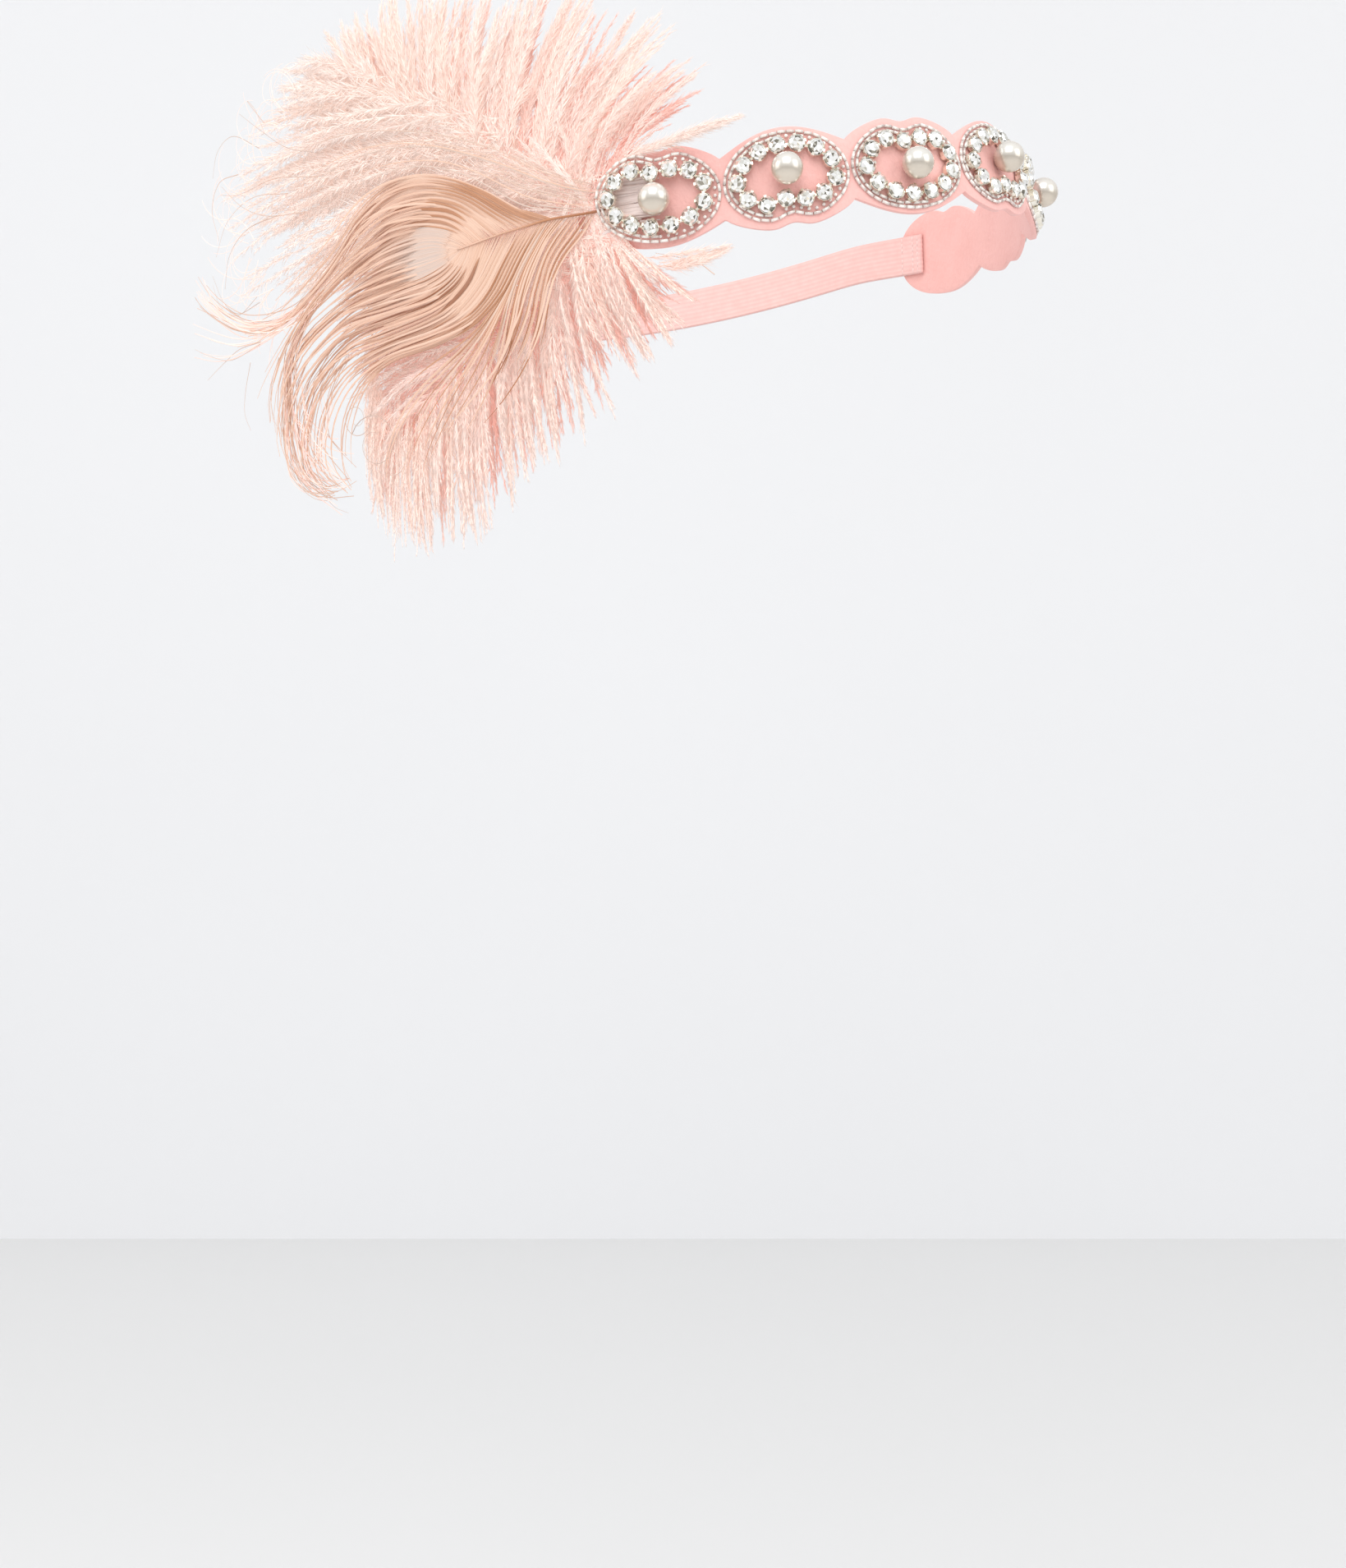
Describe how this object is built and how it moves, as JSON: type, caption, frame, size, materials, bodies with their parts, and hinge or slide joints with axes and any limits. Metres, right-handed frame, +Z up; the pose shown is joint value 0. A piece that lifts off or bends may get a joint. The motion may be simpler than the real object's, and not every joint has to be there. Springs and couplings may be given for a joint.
{
  "type": "flapper headband",
  "caption": "Scalloped felt headband with stone rings and pearls on the forehead, ostrich and peacock feathers at one temple, and an elastic strap behind the head.",
  "frame": {"origin": "middle of the head loop, at the height where the loop sits on a head", "axes": "+Z up, the wearer faces -Y, the feathers are on the -X side; the loop is in the attitude it is worn in"},
  "size_m": [0.1801, 0.2216, 0.152],
  "materials": {
    "pink_felt": "matte pink felt",
    "pale_elastic": "ribbed woven elastic",
    "stones_in_silver": "clear cut stones in silver cups",
    "cream_pearl": "cream imitation pearl",
    "blush_ostrich": "fluffy ostrich barbs, dyed blush pink",
    "beige_peacock": "silky bleached peacock barbs, dyed beige"
  },
  "bodies": {
    "root": {"band_backing": "pink_felt", "elastic_strap": "pale_elastic", "stone_ring_1": "stones_in_silver", "stone_ring_2": "stones_in_silver", "stone_ring_3": "stones_in_silver", "stone_ring_4": "stones_in_silver", "stone_ring_5": "stones_in_silver", "stone_ring_6": "stones_in_silver", "stone_ring_7": "stones_in_silver", "pearl_1": "cream_pearl", "pearl_2": "cream_pearl", "pearl_3": "cream_pearl", "pearl_4": "cream_pearl", "pearl_5": "cream_pearl", "pearl_6": "cream_pearl", "pearl_7": "cream_pearl", "ostrich_feather_upper": "blush_ostrich", "ostrich_feather_lower": "blush_ostrich", "peacock_feather": "beige_peacock"}
  },
  "joints": []
}
